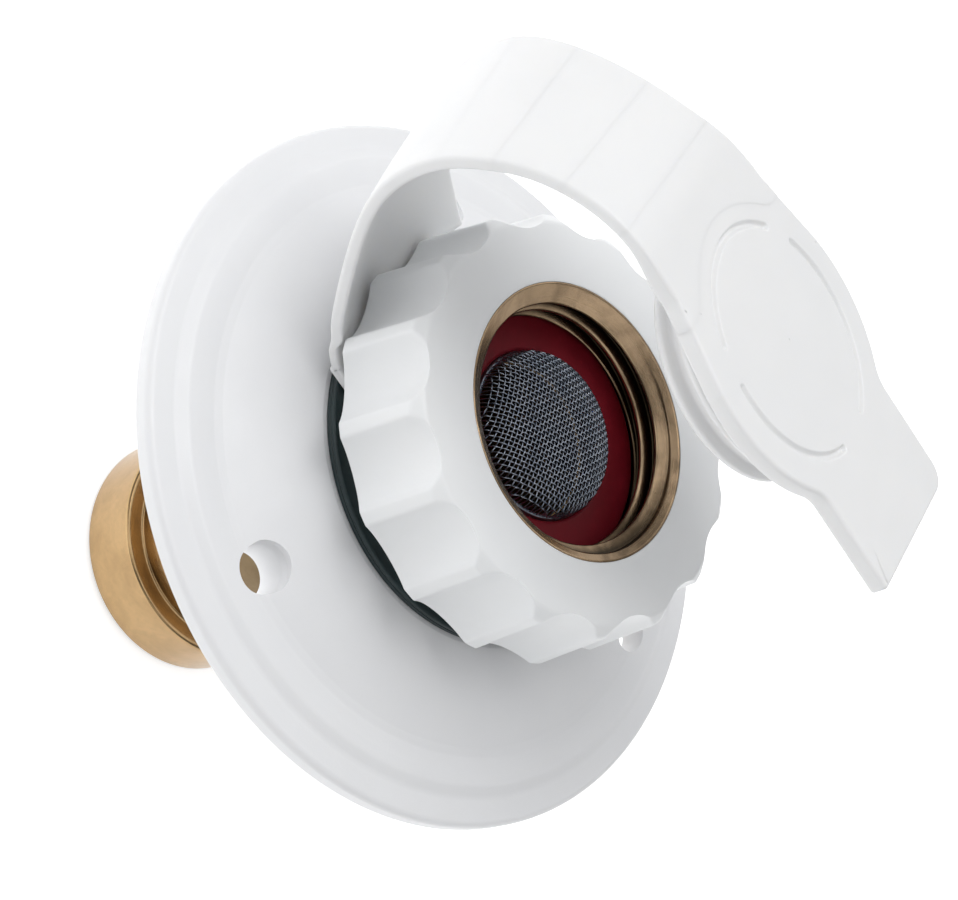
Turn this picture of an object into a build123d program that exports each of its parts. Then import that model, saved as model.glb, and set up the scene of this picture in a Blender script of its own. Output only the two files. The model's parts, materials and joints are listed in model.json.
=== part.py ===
from build123d import *
import math
import os

# Flanged deck water inlet with a swivel hose nut, an in-line check valve and a
# tethered plug, shown open.  Millimetres.  +Z is the outward (front) axis of the
# inlet, the origin is on it in the plane of the flange's mounting face, and the
# plug's strap leaves the neck toward +Y.

os.makedirs("parts", exist_ok=True)


# ------------------------------------------------------------------ helpers
def revolved(outline, arc=360):
    """Closed (radius, z) outline turned about Z through arc degrees, from +X."""
    with BuildPart() as solid:
        with BuildSketch(Plane.XZ):
            with BuildLine():
                Polyline(*outline, close=True)
            make_face()
        revolve(axis=Axis.Z, revolution_arc=arc)
    return solid.part


def box_outline(r_in, r_out, z0, z1):
    return [(r_in, z0), (r_out, z0), (r_out, z1), (r_in, z1)]


def ring(r_out, r_in, z0, z1):
    return revolved(box_outline(r_in, r_out, z0, z1))


def disc(r, z0, z1):
    return Pos(0, 0, (z0 + z1) / 2) * Cylinder(r, z1 - z0)


def save(shape, name):
    shape.label = name
    export_step(shape, "parts/" + name + ".step")


# -------------------------------------------------- flange, gasket, lock nut
TUBE_R = 10.6            # neck tube, behind its shoulder

FLANGE_R = 38.1          # 3 in across
FLANGE_RIM = 2.2         # rim height
FLANGE_BORE = TUBE_R + 0.05
HUB_R = 20.0             # hub's top edge
HUB_Z = 7.1
RECESS_Z = 1.5           # rear face of the hub, where the lock nut bears
SCREW_CIRCLE = 59.0      # diameter
SCREW_R = 2.5
SCREW_ANGLES = (44.4, 164.4, 284.4)

GASKET_R = HUB_R - 0.1
GASKET_TOP = 8.35
GASKET_BEVEL = 0.35

LOCK_CORNER_R = 15.2
LOCK_T = 4.0

# (radius, z) from the hub's rear recess, round the rim and back up to the hub
FLANGE_OUTLINE = [
    (FLANGE_BORE, RECESS_Z), (16.0, RECESS_Z), (17.2, 4.0), (23.5, 3.0), (25.0, 0.0),
    (FLANGE_R, 0.0), (FLANGE_R, 1.3), (FLANGE_R - 0.28, 1.85), (FLANGE_R - 0.9, FLANGE_RIM),
    (34.7, 2.5), (34.25, 2.75), (34.0, 3.05), (33.5, 3.12),
    (31.0, 3.25), (30.35, 3.35), (29.8, 3.65),
    (27.0, 4.7), (24.0, 5.85), (21.5, 6.65), (20.6, 6.95),
    (HUB_R, HUB_Z), (FLANGE_BORE, HUB_Z)]


def make_flange():
    flange = revolved(FLANGE_OUTLINE)
    for angle in SCREW_ANGLES:
        x = SCREW_CIRCLE / 2 * math.cos(math.radians(angle))
        y = SCREW_CIRCLE / 2 * math.sin(math.radians(angle))
        flange -= Pos(x, y, 3) * Cylinder(SCREW_R, 12)
    return flange


def make_gasket():
    """Gasket between the hub and the neck's shoulder and strap ring."""
    return revolved([
        (TUBE_R, HUB_Z), (GASKET_R, HUB_Z), (GASKET_R, GASKET_TOP - GASKET_BEVEL),
        (GASKET_R - GASKET_BEVEL, GASKET_TOP), (TUBE_R, GASKET_TOP)])


def make_lock_nut():
    """Hexagonal nut behind the flange."""
    nut = Pos(0, 0, RECESS_Z - LOCK_T) * extrude(RegularPolygon(LOCK_CORNER_R, 6), amount=LOCK_T)
    return nut - Cylinder(TUBE_R, 20)


save(make_flange(), "flange")
save(make_gasket(), "neck_gasket")
save(make_lock_nut(), "flange_lock_nut")

# ------------------------------------- neck tube, valve body, rear coupler
BEARING_R = 11.1         # neck, where the strap ring and the nut turn
BEARING_BORE = BEARING_R + 0.08      # bore of the turning parts, with running clearance
TUBE_BORE = 8.0
COLLAR_R = 12.2          # front collar that keeps the nut on
COLLAR_Z0, COLLAR_Z1 = 12.75, 14.5

BODY_R = 11.6
BODY_Z0, BODY_Z1 = -33.0, -6.0
SOCKET_Z = BODY_Z1 - 8.0 # floor of the body's socket for the neck tube
SPIGOT_R = 10.5          # rear end of the body, inside the coupler
SPIGOT_Z = -30.5
SEAT_R = 6.2
SEAT_Z = -17.0
CHAMBER_R = 8.4
GUIDE_BORE = 9.0         # chamber behind the guide's shoulder
GUIDE_Z0, GUIDE_Z1 = -29.6, -27.4
SNAP_GROOVE_R = GUIDE_BORE + 0.5
SNAP_GROOVE_Z0 = GUIDE_Z0 - 0.9

COUPLER_R = 13.7
COUPLER_Z0, COUPLER_Z1 = -44.1, -36.0
PIPE_R = 9.3             # pipe socket in the coupler


def make_neck_tube():
    back = SOCKET_Z + 0.1
    return revolved([
        (TUBE_BORE, back), (TUBE_R, back), (TUBE_R, GASKET_TOP),
        (BEARING_R, GASKET_TOP), (BEARING_R, COLLAR_Z0),
        (COLLAR_R, COLLAR_Z0), (COLLAR_R, COLLAR_Z1), (TUBE_BORE + 0.4, COLLAR_Z1),
        (TUBE_BORE, COLLAR_Z1 - 0.4)])


def make_valve_body():
    return revolved([
        (GUIDE_BORE, BODY_Z0), (SPIGOT_R, BODY_Z0), (SPIGOT_R, SPIGOT_Z), (BODY_R, SPIGOT_Z),
        (BODY_R, BODY_Z1 - 0.4), (BODY_R - 0.4, BODY_Z1), (TUBE_R, BODY_Z1),
        (TUBE_R, SOCKET_Z), (SEAT_R, SOCKET_Z), (SEAT_R, SEAT_Z),
        (CHAMBER_R, SEAT_Z), (CHAMBER_R, GUIDE_Z1), (GUIDE_BORE, GUIDE_Z1),
        (GUIDE_BORE, GUIDE_Z0), (SNAP_GROOVE_R, GUIDE_Z0),
        (SNAP_GROOVE_R, SNAP_GROOVE_Z0), (GUIDE_BORE, SNAP_GROOVE_Z0)])


def make_coupler():
    """Wide rear band with the pipe socket, and a sleeve over the body's spigot."""
    return revolved([
        (PIPE_R + 0.9, COUPLER_Z0), (COUPLER_R - 0.5, COUPLER_Z0), (COUPLER_R, COUPLER_Z0 + 0.5),
        (COUPLER_R, COUPLER_Z1 - 0.4), (COUPLER_R - 0.4, COUPLER_Z1), (BODY_R, COUPLER_Z1),
        (BODY_R, SPIGOT_Z), (SPIGOT_R, SPIGOT_Z), (SPIGOT_R, BODY_Z0), (PIPE_R, BODY_Z0),
        (PIPE_R, COUPLER_Z0 + 0.9)])


save(make_neck_tube(), "inlet_neck_tube")
save(make_valve_body(), "check_valve_body")
save(make_coupler(), "rear_coupler")

# ---------------------------------------------------- inside the check valve
SEAL_R_IN, SEAL_R_OUT = 6.3, 7.4
HEAD_R = 7.5
HEAD_Z0, HEAD_Z1 = SEAT_Z - 2.4, SEAT_Z - 1.1
STEM_R = 1.6
STEM_END = -31.6
SPRING_R = 4.3           # to the wire's centre
SPRING_PITCH = 1.55
WIRE_R = 0.35
SPRING_END_GAP = 0.06


def make_poppet():
    """Nose in the seat bore, stepped head that carries the seal, long stem."""
    return revolved([
        (0, -14.6), (3.6, -14.8), (5.4, -16.0), (5.6, SEAT_Z - 0.5), (SEAL_R_IN, SEAT_Z - 0.5),
        (SEAL_R_IN, HEAD_Z1), (HEAD_R, HEAD_Z1), (HEAD_R, HEAD_Z0), (3.2, HEAD_Z0),
        (3.0, SEAT_Z - 4.2), (STEM_R, SEAT_Z - 4.4), (STEM_R, STEM_END), (0, STEM_END)])


def make_spring():
    """Spring between the guide and the poppet head."""
    end = WIRE_R + SPRING_END_GAP
    path = Helix(pitch=SPRING_PITCH, height=HEAD_Z0 - GUIDE_Z1 - 2 * end, radius=SPRING_R,
                 center=(0, 0, GUIDE_Z1 + end))
    section = Plane(origin=path @ 0, z_dir=path % 0) * Circle(WIRE_R)
    return sweep(section, path=path, is_frenet=True)


def make_guide():
    """Rim, three spokes and a hub for the stem."""
    guide = ring(GUIDE_BORE - 0.03, 7.6, GUIDE_Z0, GUIDE_Z1)
    guide = guide + ring(3.2, STEM_R + 0.06, GUIDE_Z0, GUIDE_Z1)
    spoke = Pos(5.4, 0, (GUIDE_Z0 + GUIDE_Z1) / 2) * Box(4.8, 1.6, GUIDE_Z1 - GUIDE_Z0)
    for k in range(3):
        guide += Rot(0, 0, 30 + 120 * k) * spoke
    return guide


def make_snap_ring():
    """Ring behind the guide, split on the +X side."""
    whole = ring(SNAP_GROOVE_R - 0.05, 7.7, SNAP_GROOVE_Z0 + 0.05, GUIDE_Z0)
    return whole - Pos(8.6, 0, -30) * Box(3.4, 3.0, 4)


save(make_poppet(), "valve_poppet")
save(ring(SEAL_R_OUT, SEAL_R_IN, HEAD_Z1, SEAT_Z - 0.03), "poppet_seal")
save(make_spring(), "valve_spring")
save(make_guide(), "valve_guide")
save(make_snap_ring(), "guide_snap_ring")

# -------------------------------------------------------------- swivel nut
RIDGES = 16
RIDGE_PHASE = 5.3        # angle of the first ridge
TIP_BACK_R = 22.8        # ridge tips at the back and front
TIP_FRONT_R = 22.0
NUT_BACK_Z = 11.2
NUT_FACE_Z = 23.0
NUT_LIP_Z = 21.8         # the shell laps over the insert in front of this
NUT_BORE = 17.6
FLUTE_R = 5.2            # flute cutter
FLUTE_AXIS_R = 25.9      # cutter axis distance at FLUTE_MID_Z
FLUTE_MID_Z = 16.7
FLUTE_TILT = 4.65        # degrees; flutes run deeper toward the front

CREST_R = 12.35          # female hose thread, modelled as plain rings
ROOT_R = 13.55
THREAD_PITCH = 2.209
LIP_CREST_Z = 21.25      # the crest one pitch behind this is a full ring
MOUTH_R = 14.2           # outer radius of the mouth's lead-in
LIP_R = MOUTH_R + 0.3

WASHER_R = 13.6
WASHER_HOLE = 8.9
WASHER_Z0, WASHER_Z1 = COLLAR_Z1, 16.9
WASHER_BEVEL = 0.3


def make_nut_shell():
    shell = revolved([
        (NUT_BORE, NUT_BACK_Z), (TIP_BACK_R - 1.7, NUT_BACK_Z), (TIP_BACK_R, NUT_BACK_Z + 1.2),
        (TIP_FRONT_R, 21.6), (TIP_FRONT_R - 0.2, 22.35), (TIP_FRONT_R - 0.75, 22.85),
        (TIP_FRONT_R - 1.4, NUT_FACE_Z), (LIP_R, NUT_FACE_Z), (LIP_R, NUT_LIP_Z),
        (NUT_BORE, NUT_LIP_Z)])
    flute = Pos(FLUTE_AXIS_R, 0, FLUTE_MID_Z) * Rot(0, -FLUTE_TILT, 0) * Cylinder(FLUTE_R, 30)
    for k in range(RIDGES):
        shell -= Rot(0, 0, RIDGE_PHASE + 360 / RIDGES * (k + 0.5)) * flute
    return shell


def make_thread_insert():
    crest = LIP_CREST_Z - THREAD_PITCH
    seat_r = WASHER_R + 0.05
    shoulder = COLLAR_Z0 - 0.1
    return revolved([
        (BEARING_BORE, NUT_BACK_Z), (NUT_BORE, NUT_BACK_Z), (NUT_BORE, NUT_LIP_Z),
        (LIP_R, NUT_LIP_Z), (LIP_R, NUT_FACE_Z), (MOUTH_R, NUT_FACE_Z),
        (CREST_R, 22.35), (CREST_R, 21.05), (ROOT_R, 20.5),
        (ROOT_R, crest + 0.75), (CREST_R, crest + 0.2),
        (CREST_R, crest - 0.2), (ROOT_R, crest - 0.75),
        (ROOT_R, 17.2), (seat_r, 17.1), (seat_r, shoulder), (BEARING_BORE, shoulder)])


def make_washer():
    return revolved([
        (WASHER_HOLE, WASHER_Z0), (WASHER_R, WASHER_Z0), (WASHER_R, WASHER_Z1 - WASHER_BEVEL),
        (WASHER_R - WASHER_BEVEL, WASHER_Z1), (WASHER_HOLE, WASHER_Z1)])


save(make_nut_shell(), "swivel_nut_shell")
save(make_thread_insert(), "swivel_thread_insert")
save(make_washer(), "hose_washer")

# ---------------------------------- domed strainer, set in the washer's hole
DOME_TOP = 20.3
DOME_BASE = WASHER_Z1 - 0.2
DOME_WALL = 0.45
SKIRT_Z = 15.3
DOME_POWER = 2.8         # superellipse exponent of the profile
DOME_STEPS = 14


def dome_profile(r, height):
    """Points from the dome's base up to its pole."""
    points = []
    for i in range(DOME_STEPS):
        angle = math.pi / 2 * i / DOME_STEPS
        points.append((r * math.cos(angle) ** (2 / DOME_POWER),
                       DOME_BASE + height * math.sin(angle) ** (2 / DOME_POWER)))
    return points + [(0.0, DOME_BASE + height)]


def make_strainer():
    height = DOME_TOP - DOME_BASE
    outer = dome_profile(WASHER_HOLE, height)
    inner = dome_profile(WASHER_HOLE - DOME_WALL, height - DOME_WALL)
    return revolved([(WASHER_HOLE, SKIRT_Z)] + outer + inner[::-1] +
                    [(WASHER_HOLE - DOME_WALL, SKIRT_Z)])


save(make_strainer(), "strainer_dome")

# ------------------------------------------------------------------- strap
STRAP_W = 19.0
STRAP_T = 1.4
ROOT_FLARE = (1.2, 3.0)  # extra width on the -X and +X side at the strap ring
DISC_FLARE = 3.0         # extra width on each side at the disc
BLANK_HALF_W = 15.0      # half width of a flared piece before trimming
STRAP_RING_R = 18.0
STRAP_RING_Z = 9.2       # mid-thickness
ROLL = 9.2               # roll of the open plug about an axis along Y, degrees
ROLL_Z = 34.0            # height of that axis

# Strap centre line in the Y-Z plane: (arc length, Y, Z, direction in degrees from +Y)
STRAP = [
    (0.0, 16.375, 9.2, 0.0), (1.5, 17.85, 9.2, 0.0), (3.0, 19.348, 9.2, 3.0),
    (4.5, 20.812, 9.30, 14.0), (6.0, 22.165, 9.882, 31.72), (7.5, 23.359, 10.786, 42.01),
    (9.0, 24.403, 11.862, 49.23), (10.5, 25.33, 13.041, 54.08), (12.0, 26.172, 14.281, 57.35),
    (13.5, 26.955, 15.561, 59.63), (15.0, 27.693, 16.867, 61.31), (16.5, 28.397, 18.191, 62.68),
    (18.0, 29.071, 19.531, 63.93), (19.5, 29.715, 20.886, 65.25), (21.0, 30.325, 22.256, 66.76),
    (22.5, 30.896, 23.643, 68.57), (24.0, 31.418, 25.05, 70.8), (25.5, 31.878, 26.477, 73.51),
    (27.0, 32.264, 27.926, 76.76), (28.5, 32.56, 29.396, 80.56), (30.0, 32.752, 30.884, 84.87),
    (31.5, 32.825, 32.382, 89.6), (33.0, 32.77, 33.88, 94.64), (34.5, 32.581, 35.368, 99.84),
    (36.0, 32.257, 36.832, 105.11), (37.5, 31.8, 38.26, 110.39), (39.0, 31.214, 39.64, 115.64),
    (40.5, 30.504, 40.961, 120.89), (42.0, 29.676, 42.211, 126.12), (43.5, 28.737, 43.38, 131.38),
    (45.0, 27.695, 44.459, 136.67), (46.5, 26.558, 45.436, 142.0), (48.0, 25.335, 46.303, 147.36),
    (49.5, 24.036, 47.052, 152.71), (51.0, 22.673, 47.677, 158.0), (52.5, 21.258, 48.175, 163.14),
    (54.0, 19.806, 48.548, 168.04), (55.5, 18.328, 48.799, 172.56), (57.0, 16.834, 48.92, 177.5),
    (58.5, 15.335, 48.92, 179.5), (60.0, 13.836, 48.90, 180.0), (61.5, 12.338, 48.9, 180.0)]
STATION_STEP = 1.5

HINGES = (4.0, 12.0, 20.0, 26.0, 32.0, 38.0, 44.0, 51.0, 57.0)   # arc lengths of the bends
HALF_GAPS = [0.45] * len(HINGES)     # half the gap between pieces at each hinge
HALF_GAPS[3] = 0.62                  # wider at the fold-back bend
PLAIN_LINKS = range(3, 7)            # links with parallel sides
LINK_ROLL = {7: ROLL / 2, 8: ROLL}   # links that roll with the plug


def strap_at(s):
    """Y, Z and direction of the centre line at arc length s."""
    for a, b in zip(STRAP[:-1], STRAP[1:]):
        if a[0] <= s <= b[0]:
            t = (s - a[0]) / (b[0] - a[0])
            return [a[i] + (b[i] - a[i]) * t for i in range(1, 4)]
    return list(STRAP[-1][1:])


def ease(x):
    """Smooth step from 0 to 1."""
    x = min(max(x, 0.0), 1.0)
    return x * x * (3 - 2 * x)


def sides(s):
    """X of the strap's two edges: it flares into its ring and into the disc."""
    root = 1 - ease((s - 3.0) / 19.0)
    return (-STRAP_W / 2 - ROOT_FLARE[0] * root - DISC_FLARE * ease((s - 42.0) / 15.0),
            STRAP_W / 2 + ROOT_FLARE[1] * root + DISC_FLARE * ease((s - 50.0) / 12.0))


def strap_piece(s0, s1, half_width=STRAP_W / 2):
    """Strap with parallel sides between two arc lengths."""
    steps = max(2, int(round((s1 - s0) / STATION_STEP)))
    upper, lower = [], []
    for i in range(steps + 1):
        y, z, direction = strap_at(s0 + (s1 - s0) * i / steps)
        dy = math.sin(math.radians(direction)) * STRAP_T / 2
        dz = math.cos(math.radians(direction)) * STRAP_T / 2
        upper.append((y - dy, z + dz))
        lower.append((y + dy, z - dz))
    with BuildPart() as piece:
        with BuildSketch(Plane.YZ):
            with BuildLine():
                Polyline(*(upper + lower[::-1]), close=True)
            make_face()
        extrude(amount=half_width, both=True)
    return piece.part


def flared_piece(s0, s1):
    """Strap piece trimmed to its tapering sides."""
    piece = strap_piece(s0, s1, BLANK_HALF_W)
    y0, z0, _ = strap_at(s0)
    y1, z1, _ = strap_at(s1)
    slope = math.atan2(z1 - z0, y1 - y0)
    run = math.hypot(y1 - y0, z1 - z0)
    left0, right0 = sides(s0)
    left1, right1 = sides(s1)
    over = 2.0           # the cutter overshoots both ends along the same taper
    dl = (left1 - left0) / run * over
    dr = (right1 - right0) / run * over
    chord = Plane(origin=(0, y0, z0), x_dir=(1, 0, 0),
                  z_dir=(0, -math.sin(slope), math.cos(slope)))
    outline = Polyline((left0 - dl, -over), (right0 - dr, -over),
                       (right1 + dr, run + over), (left1 + dl, run + over), close=True)
    return piece & extrude(chord * make_face(outline), amount=6, both=True)


def rolled(shape, angle):
    return Pos(0, 0, ROLL_Z) * Rot(0, angle, 0) * Pos(0, 0, -ROLL_Z) * shape


def make_strap_ring():
    """Ring that turns on the neck, with the root of the strap."""
    band = ring(STRAP_RING_R, BEARING_BORE,
                STRAP_RING_Z - STRAP_T / 2, STRAP_RING_Z + STRAP_T / 2)
    root = flared_piece(0.0, HINGES[0] - HALF_GAPS[0])
    left, right = sides(0.0)
    root += Pos((left + right) / 2, 14.4, STRAP_RING_Z) * Box(right - left, 4.4, STRAP_T)
    root -= Cylinder(BEARING_BORE, 60)
    return band + root


def make_link(number):
    """Link between hinge number - 1 and the next one."""
    piece = strap_piece if number in PLAIN_LINKS else flared_piece
    link = piece(HINGES[number - 1] + HALF_GAPS[number - 1], HINGES[number] - HALF_GAPS[number])
    return rolled(link, LINK_ROLL[number]) if number in LINK_ROLL else link


save(make_strap_ring(), "strap_ring")
for number in range(1, len(HINGES)):
    save(make_link(number), "strap_link_%d" % number)

# ---------------------------------------------------------- tethered plug
DISC_R = 15.3
DISC_T = 1.9
DISC_MID_Z = 48.9        # mid-thickness of the strap at the disc
DISC_TOP = DISC_MID_Z + STRAP_T / 2
DISC_UNDER = DISC_TOP - DISC_T
PLUG_R = 11.3
RIB_R = 12.0
CAVITY_R = 9.6
PLUG_LEN = 5.4           # below the disc
TAB_W = 20.4
TAB_START, TAB_END = 10, 23.6        # distances from the disc's centre, toward -Y
TAB_CORNER_R = 2.6
ARC_R = 11.6             # recessed arcs in the disc's +Z face
ARC_HALF_W = 0.35
ARC_DEPTH = 0.4
ARC_SPAN = 96
ARC_CENTRES = (100, 220, 340)

# ribbed plug: (radius, depth below the disc)
PLUG_OUTLINE = [
    (0, 0), (RIB_R - 0.1, 0), (PLUG_R, 0.5), (PLUG_R, 1.5), (RIB_R, 1.9), (RIB_R, 2.5),
    (PLUG_R, 2.9), (PLUG_R, 3.7), (RIB_R, 4.1), (RIB_R, 4.8), (PLUG_R, PLUG_LEN), (0, PLUG_LEN)]


def make_tab():
    tab = Pos(0, -(TAB_END + TAB_START) / 2, (DISC_TOP + DISC_UNDER) / 2) * Box(
        TAB_W, TAB_END - TAB_START, DISC_T)
    return fillet(tab.edges().filter_by(Axis.Z).group_by(Axis.Y)[0], TAB_CORNER_R)


def make_plug():
    cap = disc(DISC_R, DISC_UNDER, DISC_TOP)
    # web that runs the disc into the strap
    web = make_face(Polyline((-14.65, 4.3), (14.65, 4.3), (12.6, 11.4), (-12.6, 11.4), close=True))
    cap += Pos(0, 0, DISC_UNDER) * extrude(web, amount=DISC_T)
    cap += flared_piece(HINGES[-1] + HALF_GAPS[-1], STRAP[-1][0])
    cap += Pos(0, 10.0, DISC_MID_Z) * Box(STRAP_W + 2 * DISC_FLARE, 6, STRAP_T)
    cap += make_tab()
    # grip lip under the end of the tab
    cap += Pos(0, -TAB_END + 0.65, DISC_UNDER - 0.55) * Box(TAB_W - 5.4, 1.3, 1.15)
    cap += revolved([(r, DISC_UNDER - depth) for r, depth in PLUG_OUTLINE])
    cap -= disc(CAVITY_R, DISC_UNDER - PLUG_LEN - 1, DISC_UNDER)
    groove = revolved(box_outline(ARC_R - ARC_HALF_W, ARC_R + ARC_HALF_W,
                                  DISC_TOP - ARC_DEPTH, DISC_TOP + ARC_DEPTH), ARC_SPAN)
    for centre in ARC_CENTRES:
        cap -= Rot(0, 0, centre - ARC_SPAN / 2) * groove
    return rolled(cap, ROLL)


save(make_plug(), "tethered_plug")
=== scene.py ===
# A hose inlet: a swivel nut with a brass thread and a strainer, a wall flange, a check valve
# with a rear coupler behind it, and a plug on a strap.
# The inlet's axis is Z. The flange's lower face is at z = 0, the nut opens towards +Z, the
# valve hangs below, and the strap arches out over +Y and back until the plug is above the nut.
# Sizes are in millimetres unless a comment says otherwise; meshes are written in metres.
import bpy
import bmesh
import json
import math
from functools import cached_property
import numpy as np
from mathutils import Matrix, Vector


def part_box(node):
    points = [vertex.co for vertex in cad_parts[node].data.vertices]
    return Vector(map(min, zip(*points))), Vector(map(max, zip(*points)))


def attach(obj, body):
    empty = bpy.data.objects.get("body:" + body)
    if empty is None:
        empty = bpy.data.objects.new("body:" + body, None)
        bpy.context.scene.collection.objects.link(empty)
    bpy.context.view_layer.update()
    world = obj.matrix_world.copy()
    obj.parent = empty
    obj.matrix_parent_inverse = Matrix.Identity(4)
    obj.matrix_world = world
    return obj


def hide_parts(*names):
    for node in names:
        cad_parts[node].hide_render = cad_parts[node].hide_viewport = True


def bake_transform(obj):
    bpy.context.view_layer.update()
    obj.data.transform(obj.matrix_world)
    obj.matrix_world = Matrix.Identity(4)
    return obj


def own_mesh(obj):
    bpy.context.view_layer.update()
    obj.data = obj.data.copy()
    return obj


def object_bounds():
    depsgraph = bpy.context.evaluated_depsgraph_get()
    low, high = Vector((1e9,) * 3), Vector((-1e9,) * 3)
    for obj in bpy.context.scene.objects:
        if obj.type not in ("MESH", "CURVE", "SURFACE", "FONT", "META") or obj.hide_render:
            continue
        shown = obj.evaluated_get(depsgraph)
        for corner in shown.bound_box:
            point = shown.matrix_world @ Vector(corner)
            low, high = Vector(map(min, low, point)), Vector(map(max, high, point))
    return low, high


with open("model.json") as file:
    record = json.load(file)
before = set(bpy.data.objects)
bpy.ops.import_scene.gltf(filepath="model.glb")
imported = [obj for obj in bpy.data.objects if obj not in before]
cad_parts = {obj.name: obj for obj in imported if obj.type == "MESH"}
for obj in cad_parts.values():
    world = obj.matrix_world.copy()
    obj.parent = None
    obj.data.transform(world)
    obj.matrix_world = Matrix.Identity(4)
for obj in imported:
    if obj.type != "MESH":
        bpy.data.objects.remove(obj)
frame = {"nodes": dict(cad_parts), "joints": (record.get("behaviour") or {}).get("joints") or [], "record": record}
CAD_LO, CAD_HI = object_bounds()
MM = 0.001
TAU = 2 * math.pi
scene = bpy.context.scene


def cad_box(node):
    """Lower and upper corner of a CAD piece."""
    return np.array(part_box(node)) / MM


def z_span(node):
    low, high = cad_box(node)
    return low[2], high[2]


def outer_radius(node):
    return cad_box(node)[1][0]


# Sizes shared by several pieces
GASKET_LOW, GASKET_TOP = z_span("neck_gasket")
NUT_LOW, NUT_TOP = z_span("swivel_nut_shell")
NUT_BORE_R = 17.6           # plastic grip outside, brass insert inside
NUT_LIP_R = 14.5            # inner edge of the grip's lip over the insert
NUT_LIP = 1.2               # thickness of that lip
WASHER_LOW, WASHER_TOP = z_span("hose_washer")
VALVE_R = outer_radius("check_valve_body")
NECK_R = 10.6
NECK_FIT_R = 10.62          # bore of the rings that sit on the neck


# ================================================================ shader nodes
def feed(node, inputs):
    """Link or set the inputs of a node, keyed by name or index."""
    for key, value in inputs.items():
        if isinstance(value, bpy.types.NodeSocket):
            node.id_data.links.new(value, node.inputs[key])
        else:
            node.inputs[key].default_value = value


def add_node(tree, kind, inputs=None, **settings):
    node = tree.nodes.new(kind)
    for key, value in settings.items():
        setattr(node, key, value)
    feed(node, inputs or {})
    return node


def remap_node(tree, value, source, target):
    return add_node(tree, "ShaderNodeMapRange", {
        "Value": value, "From Min": source[0], "From Max": source[1],
        "To Min": target[0], "To Max": target[1]}).outputs[0]


def scaled(color, factor):
    return tuple(channel * factor for channel in color)


class Look:
    """A Principled material and the procedural nodes that feed it."""

    def __init__(self, name):
        self.material = bpy.data.materials.new(name)
        self.material.use_nodes = True
        self.tree = self.material.node_tree
        self.tree.nodes.clear()
        output = self.add("ShaderNodeOutputMaterial")
        self.shader = self.add("ShaderNodeBsdfPrincipled")
        feed(output, {0: self.shader.outputs[0]})

    def add(self, kind, inputs=None, **settings):
        return add_node(self.tree, kind, inputs, **settings)

    @cached_property
    def position(self):
        return self.add("ShaderNodeTexCoord").outputs["Object"]

    def set(self, inputs):
        feed(self.shader, inputs)

    def noise(self, scale, detail, roughness, distortion=0.0, position=None):
        return self.add("ShaderNodeTexNoise", {
            "Scale": scale, "Detail": detail, "Roughness": roughness,
            "Distortion": distortion, "Vector": position or self.position}).outputs["Fac"]

    def remap(self, value, source, target):
        return remap_node(self.tree, value, source, target)

    def mix(self, amount, first, second):
        colors = [(*color, 1) if isinstance(color, tuple) else color
                  for color in (first, second)]
        node = self.add("ShaderNodeMix", data_type="RGBA")
        feed(node, {0: amount, 6: colors[0], 7: colors[1]})
        return node.outputs[2]

    def relief(self, *layers):
        """Chain bumps, each a (height socket, distance in metres)."""
        inputs = {}
        for height, distance in layers:
            inputs.update({"Strength": 1.0, "Distance": distance, "Height": height})
            inputs["Normal"] = self.add("ShaderNodeBump", inputs).outputs[0]
        self.set({"Normal": inputs["Normal"]})

    def openness(self, distance):
        """Ambient occlusion: 1 in the open, 0 in a crevice; distance in metres."""
        node = self.add("ShaderNodeAmbientOcclusion", {"Distance": distance}, samples=4)
        return node.outputs["AO"]


# =================================================================== materials
def plastic(name, color, tint, roughness, scatter, grain=0.00001, scatter_depth=0.0009):
    """Moulded plastic, with painted shade in its crevices; grain height and scatter depth are in metres."""
    look = Look(name)
    broad = look.noise(scale=45, detail=3, roughness=0.55)
    blotch = look.noise(scale=260, detail=4, roughness=0.6)
    fleck = look.noise(scale=3200, detail=1, roughness=0.5)
    paint = look.mix(look.remap(broad, source=(0.3, 0.7), target=(0, 1)), color, tint)
    paint = look.mix(look.remap(fleck, source=(0.70, 0.80), target=(0, 0.10)),
                     paint, scaled(color, 0.82))
    # painted shade: a warm darker grey mixed in, up to a tenth, where ambient occlusion finds a crevice
    crevice_shade = (color[0] * 0.62, color[1] * 0.60, color[2] * 0.55)
    paint = look.mix(look.remap(look.openness(0.0016), source=(0.35, 1.0), target=(0.10, 0.0)),
                     paint, crevice_shade)
    look.set({
        "Base Color": paint,
        "Roughness": look.remap(blotch, source=(0.3, 0.7), target=roughness),
        "IOR": 1.49,
        "Subsurface Weight": scatter,
        "Subsurface Radius": (1.0, 0.95, 0.85),
        "Subsurface Scale": scatter_depth})
    fine = look.noise(scale=2600, detail=3, roughness=0.6)
    wavy = look.noise(scale=130, detail=2, roughness=0.5)
    look.relief((wavy, 0.0001), (fine, grain))
    return look.material


def thread_root_shade(look, paint, unshaded_r, dark_r, lead_in_z):
    """Painted shade in the thread's roots: darken towards near black with distance from the axis, fading out above
    the thread's lead-in.
    """
    split = look.add("ShaderNodeSeparateXYZ", {0: look.position})
    flat = look.add("ShaderNodeCombineXYZ", {0: split.outputs[0], 1: split.outputs[1]})
    radius = look.add("ShaderNodeVectorMath", {0: flat.outputs[0]}, operation="LENGTH")
    depth = look.remap(radius.outputs["Value"],
                       source=(unshaded_r * MM, dark_r * MM), target=(0, 0.93))
    below = look.remap(split.outputs[2],
                       source=(lead_in_z * MM, (lead_in_z + 0.5) * MM), target=(1, 0))
    amount = look.add("ShaderNodeMath", {0: depth, 1: below}, operation="MULTIPLY")
    return look.mix(amount.outputs[0], paint, (0.020, 0.016, 0.010))


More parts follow.
